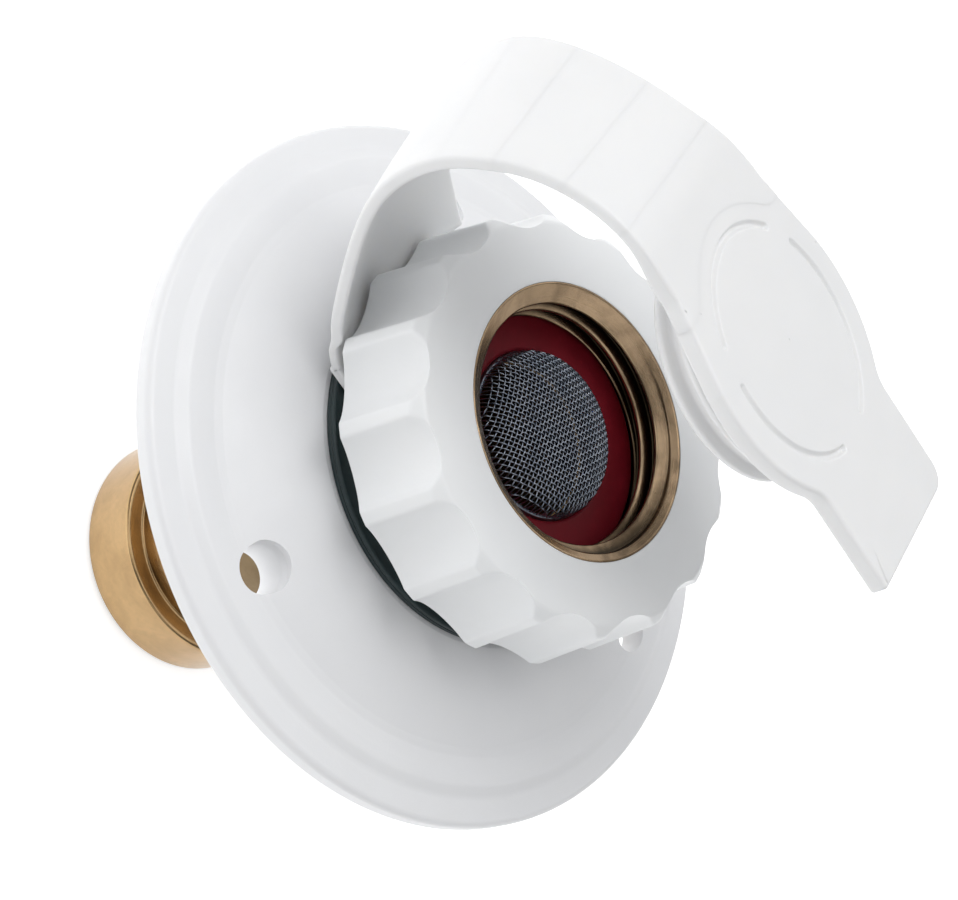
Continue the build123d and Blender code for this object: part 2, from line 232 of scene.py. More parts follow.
def brass(name, color, dark, roughness, patina_and_reflection, line_depth=0.000006,
          patch=(0.35, 0.75), patch_scale=180, root_shade=None):
    """Turned brass with random dark patches, partly patina and partly painted dark reflection, and painted shade
    in its hollows; line_depth of the turning marks is in metres.
    """
    look = Look(name)
    patches = look.noise(scale=patch_scale, detail=4, roughness=0.6, distortion=0.4)
    small = look.noise(scale=1500, detail=4, roughness=0.65)
    # dark patches: partly patina, partly painted dark reflection
    paint = look.mix(look.remap(patches, source=patch, target=(0, patina_and_reflection)), color, dark)
    paint = look.mix(look.remap(small, source=(0.45, 0.8), target=(0, 0.35)),
                     paint, scaled(color, 0.7))
    # painted shade: hollows that ambient occlusion finds are mixed, up to 0.85, towards a very dark copy of dark
    paint = look.mix(look.remap(look.openness(0.0022), source=(0.15, 0.85), target=(0.85, 0.0)),
                     paint, scaled(dark, 0.28))
    # painted shade in the thread's roots, where asked for
    if root_shade:
        paint = thread_root_shade(look, paint, **root_shade)
    # noise squeezed along Z gives the turning marks
    squeezed = look.add("ShaderNodeMapping", {"Scale": (60, 60, 9000), "Vector": look.position})
    turned = look.noise(scale=1.0, detail=3, roughness=0.6, position=squeezed.outputs[0])
    look.set({
        "Base Color": paint,
        "Metallic": 1.0,
        "Roughness": look.remap(look.mix(0.5, patches, turned),
                                source=(0.3, 0.7), target=roughness)})
    look.relief((small, 0.000012), (turned, line_depth))
    return look.material


def rubber(name, color, lift, roughness=(0.42, 0.62), sheen=0.15, specular=None):
    """Dull rubber; lift is the lighter colour it drifts to, dust is lighter still."""
    look = Look(name)
    cloud = look.noise(scale=220, detail=4, roughness=0.6)
    fine = look.noise(scale=3400, detail=2, roughness=0.6)
    dust = look.noise(scale=900, detail=5, roughness=0.7)
    dust_color = tuple(min(1, channel * 1.8 + 0.02) for channel in lift)
    paint = look.mix(look.remap(cloud, source=(0.3, 0.75), target=(0, 1)), color, lift)
    paint = look.mix(look.remap(dust, source=(0.62, 0.8), target=(0, 0.25)), paint, dust_color)
    look.set({
        "Base Color": paint,
        "Roughness": look.remap(cloud, source=(0.3, 0.7), target=roughness),
        "Sheen Weight": sheen,
        "Sheen Roughness": 0.5})
    if specular is not None:
        look.set({"Specular IOR Level": specular})
    look.relief((fine, 0.00002), (cloud, 0.00004))
    return look.material


def steel(name, color, dark, roughness=(0.25, 0.4)):
    look = Look(name)
    cloud = look.noise(scale=500, detail=3, roughness=0.6)
    fine = look.noise(scale=6000, detail=2, roughness=0.5)
    look.set({
        "Base Color": look.mix(look.remap(cloud, source=(0.3, 0.75), target=(0, 1)), color, dark),
        "Metallic": 1.0,
        "Roughness": look.remap(cloud, source=(0.3, 0.7), target=roughness)})
    look.relief((fine, 0.000006))
    return look.material


FLANGE_PLASTIC = plastic("flange_plastic", color=(0.81, 0.815, 0.825), tint=(0.78, 0.785, 0.80),
                         roughness=(0.33, 0.46), scatter=0.10)
NUT_PLASTIC = plastic("nut_plastic", color=(0.83, 0.84, 0.845), tint=(0.79, 0.805, 0.815),
                      roughness=(0.28, 0.40), scatter=0.10, grain=0.000008)
STRAP_PLASTIC = plastic("strap_plastic", color=(0.80, 0.80, 0.80), tint=(0.775, 0.78, 0.785),
                        roughness=(0.40, 0.52), scatter=0.22, grain=0.000012,
                        scatter_depth=0.0012)
# the thread's roots get painted shade
THREAD_BRASS = brass("thread_brass", color=(0.56, 0.40, 0.25), dark=(0.075, 0.050, 0.030),
                     roughness=(0.16, 0.34), patina_and_reflection=0.85, patch=(0.44, 0.66), patch_scale=95,
                     root_shade=dict(unshaded_r=12.55, dark_r=13.35, lead_in_z=21.6))
COUPLER_BRASS = brass("coupler_brass", color=(0.54, 0.365, 0.185), dark=(0.27, 0.165, 0.075),
                      roughness=(0.15, 0.27), patina_and_reflection=0.45, line_depth=0.00001)
# painted shade: a darker, duller copy of the brass for the valve body, which hangs in the flange's shade
SHADED_BODY_BRASS = brass("valve_body_brass_shaded", color=(0.24, 0.175, 0.10), dark=(0.13, 0.088, 0.045),
                   roughness=(0.30, 0.48), patina_and_reflection=0.65, line_depth=0.00001)
NECK_BRASS = brass("neck_brass", color=(0.50, 0.34, 0.17), dark=(0.20, 0.12, 0.05),
                   roughness=(0.26, 0.42), patina_and_reflection=0.5)
GASKET_RUBBER = rubber("gasket_rubber", color=(0.003, 0.015, 0.017), lift=(0.006, 0.024, 0.027),
                       roughness=(0.30, 0.5), sheen=0.05)
WASHER_RUBBER = rubber("washer_rubber", color=(0.150, 0.003, 0.009), lift=(0.205, 0.005, 0.014),
                       roughness=(0.42, 0.60), sheen=0.02, specular=0.22)
SEAL_RUBBER = rubber("seal_rubber", color=(0.010, 0.010, 0.011), lift=(0.020, 0.020, 0.021))
MESH_STEEL = steel("mesh_steel", color=(0.47, 0.51, 0.58), dark=(0.27, 0.31, 0.38),
                   roughness=(0.28, 0.42))
SPRING_STEEL = steel("spring_steel", color=(0.60, 0.60, 0.59), dark=(0.42, 0.42, 0.42))
VALVE_PLASTIC = plastic("valve_plastic", color=(0.17, 0.17, 0.175), tint=(0.13, 0.13, 0.135),
                        roughness=(0.4, 0.55), scatter=0.0)


# ================================================================ mesh helpers
def smooth_step(x):
    x = np.clip(x, 0, 1)
    return x * x * (3 - 2 * x)


def ease(value, start, length):
    """Rise smoothly from 0 at start to 1 at start + length."""
    return smooth_step((value - start) / length)


def smooth_min(a, b, blend):
    h = np.clip(0.5 + 0.5 * (b - a) / blend, 0, 1)
    return b * (1 - h) + a * h - blend * h * (1 - h)


def smooth_max(a, b, blend):
    return -smooth_min(-a, -b, blend)


def unit(vectors):
    return vectors / np.linalg.norm(vectors, axis=-1, keepdims=True)


def build(name, verts, faces, material, normals=None):
    mesh = bpy.data.meshes.new(name)
    mesh.from_pydata((np.asarray(verts, float) * MM).tolist(), [], faces)
    mesh.update()
    mesh.polygons.foreach_set("use_smooth", [True] * len(mesh.polygons))
    mesh.materials.append(material)
    if normals is not None:
        mesh.normals_split_custom_set_from_vertices(np.asarray(normals, float).tolist())
    piece = bpy.data.objects.new(name, mesh)
    scene.collection.objects.link(piece)
    return piece


def register(piece, body, slot, *replaced):
    """Parent the piece to the empty of the body that carries it and hide the CAD nodes it replaces; slot is not
    used.
    """
    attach(piece, body)
    if replaced:
        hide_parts(*replaced)


def grid_quads(rings, sides, order="dcba", closed=True):
    """Quads between rings of points. The corners are a (this ring), b (next ring),
    c (next ring, next side) and d (this ring, next side); their order also sets how
    each quad splits. closed joins the last ring to the first."""
    ring = np.arange(rings if closed else rings - 1)[:, None]
    side = np.arange(sides)[None, :]
    next_ring, next_side = (ring + 1) % rings, (side + 1) % sides
    corners = {"a": ring * sides + side, "b": next_ring * sides + side,
               "c": next_ring * sides + next_side, "d": ring * sides + next_side}
    return np.stack([corners[letter] for letter in order], -1).reshape(-1, 4)


def tube_faces(rings, sides, order="adcb", base=0):
    """Faces of a tube with both ends capped, its vertices starting at index base."""
    faces = (grid_quads(rings, sides, order, closed=False) + base).tolist()
    faces.append([base + i for i in reversed(range(sides))])
    faces.append([base + i for i in range((rings - 1) * sides, rings * sides)])
    return faces


def wire_rings(path, side_a, side_b, radius, sides):
    """Circles round the points of a path, in the plane of the two side vectors."""
    turns = [TAU * i / sides for i in range(sides)]
    return np.stack([path + radius * (math.cos(turn) * side_a + math.sin(turn) * side_b)
                     for turn in turns], 1)


def full_turn(count):
    return np.arange(count) / count * TAU


def around(radius, height, angles):
    """Vertices of rings about Z; rows of radius and height are rings, columns are angles."""
    x, y = radius * np.cos(angles), radius * np.sin(angles)
    return np.stack([x, y, np.broadcast_to(height, x.shape)], -1).reshape(-1, 3)


def build_turned(name, radius, height, angles, material):
    faces = grid_quads(len(radius), len(angles)).tolist()
    return build(name, around(radius, height, angles), faces, material)


def fillet_outline(corners, steps=5):
    """Round the corners of a closed anticlockwise outline of (radius, height, fillet).
    Returns its points and outward normals."""
    corners = np.array(corners, float)
    spots = corners[:, :2]
    points, normals = [], []
    for i, (corner, fillet) in enumerate(zip(spots, corners[:, 2])):
        before, after = spots[i - 1], spots[(i + 1) % len(spots)]
        length_in = np.linalg.norm(before - corner)
        length_out = np.linalg.norm(after - corner)
        back, ahead = (before - corner) / length_in, (after - corner) / length_out
        angle = math.acos(float(np.clip(back @ ahead, -1, 1)))
        normal_in = np.array([-back[1], back[0]])
        normal_out = np.array([ahead[1], -ahead[0]])
        if angle > math.pi - 0.02:      # as good as straight
            points.append(corner)
            normals.append(unit(normal_in + normal_out))
            continue
        trim = min(fillet / math.tan(angle / 2), 0.48 * length_in, 0.48 * length_out)
        radius = trim * math.tan(angle / 2)
        centre = corner + unit(back + ahead) * (radius / math.sin(angle / 2))
        x0, y0 = corner + back * trim - centre
        x1, y1 = corner + ahead * trim - centre
        start = math.atan2(y0, x0)
        sweep = (math.atan2(y1, x1) - start + math.pi) % TAU - math.pi
        count = max(2, int(steps * min(1.5, 0.4 + radius / 0.4)))
        for j in range(count + 1):
            turn = start + sweep * j / count
            spoke = np.array([math.cos(turn), math.sin(turn)])
            outward = normal_in + (normal_out - normal_in) * j / count
            points.append(centre + spoke * radius)
            normals.append(spoke if spoke @ outward > 0 else -spoke)
    return np.array(points), np.array(normals)


def revolve(name, points, normals, material, segments):
    angles = full_turn(segments)
    verts = around(points[:, :1], points[:, 1:], angles)
    directions = around(normals[:, :1], normals[:, 1:], angles)
    return build(name, verts, grid_quads(len(points), segments).tolist(), material, directions)


def lathe(name, corners, material, segments):
    return revolve(name, *fillet_outline(corners), material, segments)


def resample(points, step):
    """Divide every side of a closed outline into parts no longer than step."""
    result = []
    for start, end in zip(points, np.roll(points, -1, 0)):
        count = max(1, int(math.ceil(np.linalg.norm(end - start) / step)))
        result += [start + (end - start) * j / count for j in range(count)]
    return np.array(result)


def thread_radius(z, angle, crest, root, pitch, crest_z, crest_half, flank):
    """Radius of an internal helical thread; crest_half and flank are the half widths of
    its crest and its foot."""
    offset = (z - crest_z - pitch * angle / TAU + pitch / 2) % pitch - pitch / 2
    rise = np.clip((flank - np.abs(offset)) / (flank - crest_half), 0, 1)
    rise = rise * rise * (3 - 2 * rise) * 0.35 + rise * 0.65
    return root - (root - crest) * rise


# ====================================================================== flange
FLANGE_HOLE_ANGLES = [44.4 + 120 * i for i in range(3)]
COUNTERSINK_Z = 3.75


def flange_cutter(x, y, hole_r):
    """Screw hole widening towards its top."""
    segments = 64
    outline = [(hole_r, -2), (hole_r, COUNTERSINK_Z - 0.55),
               (hole_r + 0.05, COUNTERSINK_Z - 0.25), (hole_r + 0.16, COUNTERSINK_Z),
               (hole_r + 0.30, COUNTERSINK_Z + 0.25), (hole_r + 0.4, 9.0)]
    verts = [(x + r * math.cos(TAU * k / segments), y + r * math.sin(TAU * k / segments), z)
             for r, z in outline for k in range(segments)]
    return build("cutter", verts, tube_faces(len(outline), segments), FLANGE_PLASTIC)


def cut_holes(flange, holes, hole_r):
    cutters = [flange_cutter(x, y, hole_r) for x, y in holes]
    for cutter in cutters:
        cut = flange.modifiers.new("hole", "BOOLEAN")
        cut.operation = "DIFFERENCE"
        cut.solver = "EXACT"
        cut.object = cutter
    bpy.context.view_layer.update()
    evaluated = flange.evaluated_get(bpy.context.evaluated_depsgraph_get())
    mesh = bpy.data.meshes.new_from_object(evaluated)
    flange.modifiers.clear()
    flange.data = mesh
    for cutter in cutters:
        bpy.data.objects.remove(cutter)


def turned_normals(verts, points, normals):
    """Normal at each vertex, taken from the nearest place on the turned outline."""
    places, directions = [], []
    for i, (start, normal) in enumerate(zip(points, normals)):
        j = (i + 1) % len(points)
        count = max(1, int(np.linalg.norm(points[j] - start) / 0.03))
        for k in range(count):
            places.append(start + (points[j] - start) * k / count)
            directions.append(unit(normal + (normals[j] - normal) * k / count))
    places, directions = np.array(places), np.array(directions)
    radius = np.hypot(verts[:, 0], verts[:, 1])
    result = np.zeros_like(verts)
    for first in range(0, len(verts), 4000):    # in batches, to limit memory
        part = slice(first, first + 4000)
        flat = np.stack([radius[part], verts[part, 2]], -1)
        nearest = ((flat[:, None, :] - places[None]) ** 2).sum(-1).argmin(1)
        for axis in (0, 1):
            result[part, axis] = (directions[nearest, 0] * verts[part, axis]
                                  / np.maximum(flat[:, 0], 1e-6))
        result[part, 2] = directions[nearest, 1]
    return result


def shade_flange(mesh, points, normals, holes, hole_r):
    """Give the cut mesh the turned normals, and radial ones on the walls of the holes."""
    mesh.polygons.foreach_set("use_smooth", [True] * len(mesh.polygons))
    verts = np.zeros(len(mesh.vertices) * 3)
    mesh.vertices.foreach_get("co", verts)
    verts = verts.reshape(-1, 3) / MM
    vertex_normals = turned_normals(verts, points, normals)
    loop_normals = []
    for face in mesh.polygons:
        face_normal = np.array(face.normal)
        centre = np.array(face.center) / MM
        hole = None
        for x, y in holes:
            if math.hypot(centre[0] - x, centre[1] - y) < hole_r + 1.1:
                hole = (x, y)
        lift = face_normal[2] if centre[2] > 2.6 else 0.0
        for loop in face.loop_indices:
            vertex = mesh.loops[loop].vertex_index
            normal = vertex_normals[vertex]
            if hole is not None and normal @ face_normal < 0.93:
                inward = np.array([hole[0] - verts[vertex, 0], hole[1] - verts[vertex, 1], 0.0])
                inward /= max(np.linalg.norm(inward), 1e-6)
                normal = (inward * math.sqrt(max(0.0, 1 - lift * lift))
                          + np.array([0, 0, lift]))
            loop_normals.append(tuple(normal))
    mesh.normals_split_custom_set(loop_normals)


def make_flange():
    rim_r = outer_radius("flange")
    hub_z = z_span("flange")[1]
    bore = 10.65
    points, normals = fillet_outline([      # radius, height, fillet
        (bore, 1.5, 0.1), (16.0, 1.5, 0.4), (17.2, 4.0, 0.5), (23.5, 3.0, 0.6),
        (25.0, 0.0, 0.3), (rim_r, 0.0, 0.25), (rim_r, 2.15, 0.85), (35.1, 2.42, 1.6),
        (33.9, 3.05, 1.3), (32.8, 3.14, 1.5), (31.0, 3.22, 1.2), (30.1, 3.45, 0.9),
        (28.2, 4.22, 6.0), (24.5, 5.62, 9.0), (21.6, 6.62, 5.0), (20.3, hub_z - 0.04, 0.5),
        (19.0, hub_z, 0.3), (bore, hub_z, 0.1)], steps=6)
    flange = revolve("flange_body", points, normals, FLANGE_PLASTIC, segments=384)
    screws = [m for m in frame["record"]["mounts"] if m["name"] == "screw_holes"][0]["dims"]
    circle_r, hole_r = screws["pcd_mm"] / 2, screws["hole_r_mm"]
    holes = [(circle_r * math.cos(math.radians(a)), circle_r * math.sin(math.radians(a)))
             for a in FLANGE_HOLE_ANGLES]
    cut_holes(flange, holes, hole_r)
    shade_flange(flange.data, points, normals, holes, hole_r)
    register(flange, "base", "white_plastic", "flange")


# ==================================================== gasket, nut and its thread
def make_gasket():
    radius = outer_radius("neck_gasket")
    gasket = lathe("neck_gasket_ring", [
        (NECK_FIT_R, GASKET_LOW, 0.05), (radius, GASKET_LOW, 0.12),
        (radius, GASKET_LOW + 0.55, 0.1), (radius - 0.12, GASKET_LOW + 0.62, 0.05),
        (radius, GASKET_LOW + 0.70, 0.1), (radius, GASKET_TOP, 0.32),
        (NECK_FIT_R, GASKET_TOP, 0.05)], GASKET_RUBBER, segments=256)
    register(gasket, "base", "black_rubber", "neck_gasket")


def make_nut_grip():
    flutes = 16
    flute_step = 360 / flutes
    flute_turn = 5.3            # degrees
    flute_r = 5.2
    flute_axis_r = 25.9         # distance of a flute's centre line from Z, at flute_axis_z
    flute_axis_z = 16.7
    flute_lean = 4.65           # degrees, towards the axis with height
    ridge_blend = 0.30          # keeps each ridge slightly rounded
    lip_z = NUT_TOP - NUT_LIP
    points, _ = fillet_outline([
        (NUT_LIP_R, NUT_TOP, 0.10), (NUT_LIP_R, lip_z, 0.03), (NUT_BORE_R, lip_z, 0.03),
        (NUT_BORE_R, NUT_LOW, 0.2), (21.1, NUT_LOW, 0.35), (22.85, NUT_LOW + 1.2, 0.35),
        (22.02, 22.0, 0.9), (20.9, NUT_TOP, 0.9)], steps=7)
    points = resample(points, 0.22)
    radius, height = points[:, :1], points[:, 1:]
    angles = full_turn(flutes * 44)
    # angle from the middle of the nearest flute
    offset = np.radians((np.degrees(angles) - flute_turn) % flute_step - flute_step / 2)[None]
    axis_r = flute_axis_r - (height - flute_axis_z) * math.tan(math.radians(flute_lean))
    reach = axis_r * np.sin(offset)
    flute = axis_r * np.cos(offset) - np.sqrt(np.maximum(flute_r ** 2 - reach ** 2, 0.0))
    flute = np.where(np.abs(reach) < flute_r, flute, 60.0)
    fluted = smooth_min(radius, flute, ridge_blend)
    fluted = np.where(radius >= 18.8, fluted, radius)   # the bore and its edges stay round
    grip = build_turned("swivel_nut_grip", fluted, height, angles, NUT_PLASTIC)
    register(grip, "nut", "white_plastic", "swivel_nut_shell")


def make_thread_insert():
    crest, root, pitch = 12.35, 13.55, 2.209
    runout_r = 13.6             # the thread fades into this bore at its lower end
    lead_in_z, lead_in_r = 21.8, 14.32
    pocket_r, floor_z, bore_r = 13.65, 12.65, 11.18
    segments = 320
    angles = full_turn(segments)
    z = np.arange(NUT_TOP, 16.95, -0.085)[:, None]
    thread = thread_radius(z, angles[None], crest, root, pitch,
                           crest_z=18.2 - pitch * 0.40, crest_half=0.15, flank=0.72)
    thread = runout_r + (thread - runout_r) * np.clip((z - 17.15) / 0.5, 0, 1)
    lead_in = crest + (z - lead_in_z) * (lead_in_r - crest) / (NUT_TOP - lead_in_z)
    thread = smooth_max(thread, lead_in, 0.12)
    rest = np.array([           # radius, height: from the thread's foot round the outside
        (pocket_r, 16.9), (pocket_r, floor_z), (bore_r, floor_z), (bore_r, NUT_LOW),
        (NUT_BORE_R, NUT_LOW), (NUT_BORE_R, NUT_TOP - NUT_LIP),
        (NUT_LIP_R, NUT_TOP - NUT_LIP), (NUT_LIP_R, NUT_TOP - 0.05)])
    radius = np.concatenate([thread, np.repeat(rest[:, :1], segments, 1)])
    height = np.concatenate([z, rest[:, 1:]])
    insert = build_turned("swivel_thread_brass", radius, height, angles, THREAD_BRASS)
    register(insert, "nut", "brass", "swivel_thread_insert")


def make_washer():
    bore, radius = 8.9, outer_radius("hose_washer")
    washer = lathe("hose_washer_red", [
        (bore, WASHER_LOW, 0.2), (radius, WASHER_LOW, 0.3),
        (radius, WASHER_TOP, 0.4), (bore, WASHER_TOP, 0.5)], WASHER_RUBBER, segments=192)
    register(washer, "base", "red_rubber", "hose_washer")


# ============================================================== woven strainer
DOME_R = 8.72
DOME_POWER = 2.8                # superellipse exponent: 2 would be an ellipse
DOME_LOW = WASHER_TOP - 0.25
DOME_HIGH = z_span("strainer_dome")[1] - 0.12
WIRE_PITCH = 0.46
WIRE_R = 0.078
WEAVE = WIRE_R                  # how far a wire swings either side of the dome
WIRE_SIDES = 6


def dome_z(x, y):
    q = np.clip(np.hypot(x, y) / DOME_R, 0, 1)
    rise = np.maximum(1 - q ** DOME_POWER, 0) ** (1 / DOME_POWER)
    return DOME_LOW + (DOME_HIGH - DOME_LOW) * rise


def dome_normal(x, y):
    e = 0.02
    slope_x = (dome_z(x + e, y) - dome_z(x - e, y)) / (2 * e)
    slope_y = (dome_z(x, y + e) - dome_z(x, y - e)) / (2 * e)
    return unit(np.stack([-slope_x, -slope_y, np.ones_like(slope_x)], -1))


def wire(index, family):
    """Rings of one wire of the weave, along X for family 0 and along Y for family 1."""
    offset = index * WIRE_PITCH
    half = math.sqrt(DOME_R * DOME_R - offset * offset) * 0.998
    # even steps along the wire's length, with the steep rim resolved
    x = half * np.sin(np.linspace(-1, 1, 1200) * math.pi / 2)
    z = dome_z(x, np.full_like(x, offset))
    length = np.concatenate([[0], np.cumsum(np.sqrt(np.diff(x) ** 2 + np.diff(z) ** 2))])
    count = max(10, int(length[-1] / 0.125))
    x = np.interp(np.linspace(0, length[-1], count), length, x)
    y = np.full_like(x, offset)
    normal = dome_normal(x * 0.995, y)
    swing = WEAVE * np.cos(math.pi * x / WIRE_PITCH + math.pi * (index % 2 + family))
    path = np.stack([x, y, dome_z(x, y)], -1) + normal * swing[:, None]
    along = unit(np.gradient(path, axis=0))
    across = unit(np.cross(along, normal))
    rings = wire_rings(path, across, np.cross(across, along), WIRE_R, WIRE_SIDES)
    if family:
        rings = rings[..., [1, 0, 2]][:, ::-1]
    return rings


def make_strainer():
    turn = math.radians(27)     # of the weave about Z
    cosine, sine = math.cos(turn), math.sin(turn)
    wires = int(DOME_R / WIRE_PITCH)
    verts, faces, base = [], [], 0
    for family in (0, 1):
        for index in range(-wires, wires + 1):
            rings = wire(index, family)
            x, y, z = rings[..., 0], rings[..., 1], rings[..., 2]
            turned = np.stack([x * cosine - y * sine, x * sine + y * cosine, z], -1)
            verts.append(turned.reshape(-1, 3))
            faces += tube_faces(len(rings), WIRE_SIDES, base=base)
            base += len(rings) * WIRE_SIDES
    weave = build("strainer_mesh", np.concatenate(verts), faces, MESH_STEEL)
    register(weave, "base", "steel_mesh", "strainer_dome")
    rim = lathe("strainer_rim", [
        (8.38, 15.3, 0.05), (8.88, 15.3, 0.05), (8.88, WASHER_TOP + 0.12, 0.2),
        (8.42, WASHER_TOP + 0.18, 0.2)], MESH_STEEL, segments=160)
    register(rim, "base", "steel_mesh")


# ================================================ neck, valve, coupler, lock nut
def make_neck():
    low, top = z_span("inlet_neck_tube")
    bore, shoulder_r, collar_r, collar_z = 8.0, 11.1, 12.2, 12.75
    neck = lathe("inlet_neck", [
        (bore, low, 0.2), (NECK_R, low, 0.2), (NECK_R, GASKET_TOP, 0.02),
        (shoulder_r, GASKET_TOP, 0.1), (shoulder_r, collar_z, 0.1), (collar_r, collar_z, 0.15),
        (collar_r, top, 0.2), (bore, top, 0.35)], NECK_BRASS, segments=192)
    register(neck, "base", "brass", "inlet_neck_tube")


def make_valve_body():
    low, top = z_span("check_valve_body")
    socket_z = top - 8.0        # bottom of the socket for the neck
    groove_r = VALVE_R - 0.35
    barrel = lathe("check_valve_barrel", [
        (9.0, low, 0.1), (10.5, low, 0.1), (10.5, -30.5, 0.05), (VALVE_R, -30.5, 0.15),
        (VALVE_R, -12.6, 0.15), (groove_r, -12.35, 0.15), (groove_r, -11.6, 0.15),
        (VALVE_R, -11.35, 0.15), (VALVE_R, top, 0.5), (NECK_R, top, 0.2),
        (NECK_R, socket_z, 0.02), (6.2, socket_z, 0.3), (6.2, -17.0, 0.2), (8.4, -17.0, 0.3),
        (8.4, -27.4, 0.05), (9.0, -27.4, 0.05), (9.0, -29.6, 0.05), (9.5, -29.6, 0.1),
        (9.5, -30.5, 0.1), (9.0, -30.5, 0.05)], SHADED_BODY_BRASS, segments=224)
    register(barrel, "base", "brass_dark", "check_valve_body")


def make_coupler():
    low, top = z_span("rear_coupler")
    radius = outer_radius("rear_coupler")
    crest, root, pitch = 9.3, 10.15, 1.814
    segments = 256
    outer, _ = fillet_outline([
        (10.3, low, 0.25), (radius, low, 0.7), (radius, -36.0, 0.5), (VALVE_R, -36.0, 0.35),
        (VALVE_R, top, 0.12), (10.5, top, 0.04), (10.5, -33.0, 0.04), (crest, -33.0, 0.1)],
        steps=6)
    outer = resample(outer[:-1], 0.5)
    angles = full_turn(segments)
    z = np.arange(-33.3, low + 0.05, -0.1)[:, None]
    thread = thread_radius(z, angles[None], crest, root, pitch,
                           crest_z=-38.0, crest_half=0.16, flank=0.66)
    thread = crest + (thread - crest) * np.clip((-34.2 - z) / 0.6, 0, 1)
    # 1 mm lead-in at the open lower end
    thread = np.maximum(thread, crest + np.clip(-43.1 - z, 0, 1))
    coupler = build_turned(
        "rear_coupler_brass", np.concatenate([np.repeat(outer[:, :1], segments, 1), thread]),
        np.concatenate([outer[:, 1:], z]), angles, COUPLER_BRASS)
    register(coupler, "base", "brass", "rear_coupler")


def make_lock_nut():
    low, top = z_span("flange_lock_nut")
    flat_r = 15.2 * math.cos(math.pi / 6)       # axis to flat, from the corner radius
    angles = full_turn(6 * 48)
    hexagon = flat_r / np.cos(angles % (math.pi / 3) - math.pi / 6)
    # radius and distance in from the end face; the corners are chamfered
    half = [(NECK_FIT_R, 0), (12.9, 0), (13.35, 0.06), (15.3, 1.0), (15.3, 1.2)]
    outline = [(r, low + inset) for r, inset in half]
    outline += [(r, top - inset) for r, inset in reversed(half)]
    points = resample(np.array(outline), 0.3)
    lock = build_turned("lock_nut_hex", np.minimum(points[:, :1], hexagon[None]),
                        points[:, 1:], angles, NECK_BRASS)
    register(lock, "base", "brass", "flange_lock_nut")


# ======================================================================= strap
# Centre line of the strap: (y, z) every 1.5 mm of its length, from the ring to the plug
STRAP_STEP = 1.5
STRAP_PATH = np.array([
    (16.375, 9.2), (17.85, 9.2), (19.348, 9.2), (20.812, 9.30), (22.165, 9.882),
    (23.359, 10.786), (24.403, 11.862), (25.33, 13.041), (26.172, 14.281), (26.955, 15.561),
    (27.693, 16.867), (28.397, 18.191), (29.071, 19.531), (29.715, 20.886), (30.325, 22.256),
    (30.896, 23.643), (31.418, 25.05), (31.878, 26.477), (32.264, 27.926), (32.56, 29.396),
    (32.752, 30.884), (32.825, 32.382), (32.77, 33.88), (32.581, 35.368), (32.257, 36.832),
    (31.8, 38.26), (31.214, 39.64), (30.504, 40.961), (29.676, 42.211), (28.737, 43.38),
    (27.695, 44.459), (26.558, 45.436), (25.335, 46.303), (24.036, 47.052), (22.673, 47.677),
    (21.258, 48.175), (19.806, 48.548), (18.328, 48.799), (16.834, 48.92), (15.335, 48.92),
    (13.836, 48.90), (12.338, 48.9)])
STRAP_STATIONS = np.arange(len(STRAP_PATH)) * STRAP_STEP
STRAP_SLOPES = np.gradient(STRAP_PATH, STRAP_STATIONS, axis=0)
STRAP_END = 61.4                # beyond this station the strap runs straight on
STRAP_HALF_WIDTH = 9.5
STRAP_THICKNESS = 1.4
DISC_R = 15.3
DISC_AXIS_STATION = 73.834      # where the strap, run straight on, would cross y = 0
PLUG_ROLL = 9.2                 # degrees about the roll joint, parallel to Y
ROLL_Z = {j["name"]: j for j in frame["joints"]}["strap_roll_a"]["pos_m"][2] / MM


def strap_path(stations):
    """Cubic Hermite through the centre line: points and unit directions, as (y, z)."""
    stations = np.asarray(stations, float)
    i = np.searchsorted(STRAP_STATIONS, stations, side="right") - 1
    i = np.clip(i, 0, len(STRAP_STATIONS) - 2)
    h = STRAP_STEP
    t = ((stations - STRAP_STATIONS[i]) / h)[:, None]
    p0, p1 = STRAP_PATH[i], STRAP_PATH[i + 1]
    m0, m1 = STRAP_SLOPES[i], STRAP_SLOPES[i + 1]
    points = ((2 * t ** 3 - 3 * t ** 2 + 1) * p0 + (t ** 3 - 2 * t ** 2 + t) * h * m0
              + (-2 * t ** 3 + 3 * t ** 2) * p1 + (t ** 3 - t ** 2) * h * m1)
    directions = ((6 * t ** 2 - 6 * t) * p0 + (3 * t ** 2 - 4 * t + 1) * h * m0
                  + (-6 * t ** 2 + 6 * t) * p1 + (3 * t ** 2 - 2 * t) * h * m1) / h
    return points, unit(directions)


def bar_section(half_width, thickness, corner_r, corner_steps, face_steps):
    """Rounded bar outline, anticlockwise: x across, y through the thickness."""
    points = []
    x, y = half_width - corner_r, thickness / 2 - corner_r
    for cx, cy, start in ((x, y, 0), (-x, y, 90), (-x, -y, 180), (x, -y, 270)):
        for k in range(corner_steps + 1):
            a = math.radians(start + 90 * k / corner_steps)
            points.append((cx + corner_r * math.cos(a), cy + corner_r * math.sin(a)))
        if start in (0, 180):       # a wide face follows
            x0, y0 = points[-1]
            points += [(x0 - x0 * 2 * k / face_steps, y0) for k in range(1, face_steps)]
    return np.array(points)


STRAP_SECTION = bar_section(STRAP_HALF_WIDTH, STRAP_THICKNESS,
                            corner_r=0.42, corner_steps=5, face_steps=20)


def strap_sides(s):
    """X of the strap's two edges: flared into its ring and, tangentially, into the disc."""
    root = 1 - ease(s, 3.0, 19.0)
    return (-STRAP_HALF_WIDTH - 1.2 * root - 3.0 * ease(s, 42.0, 15.0),
            STRAP_HALF_WIDTH + 3.0 * root + 3.0 * ease(s, 50.0, 12.0))


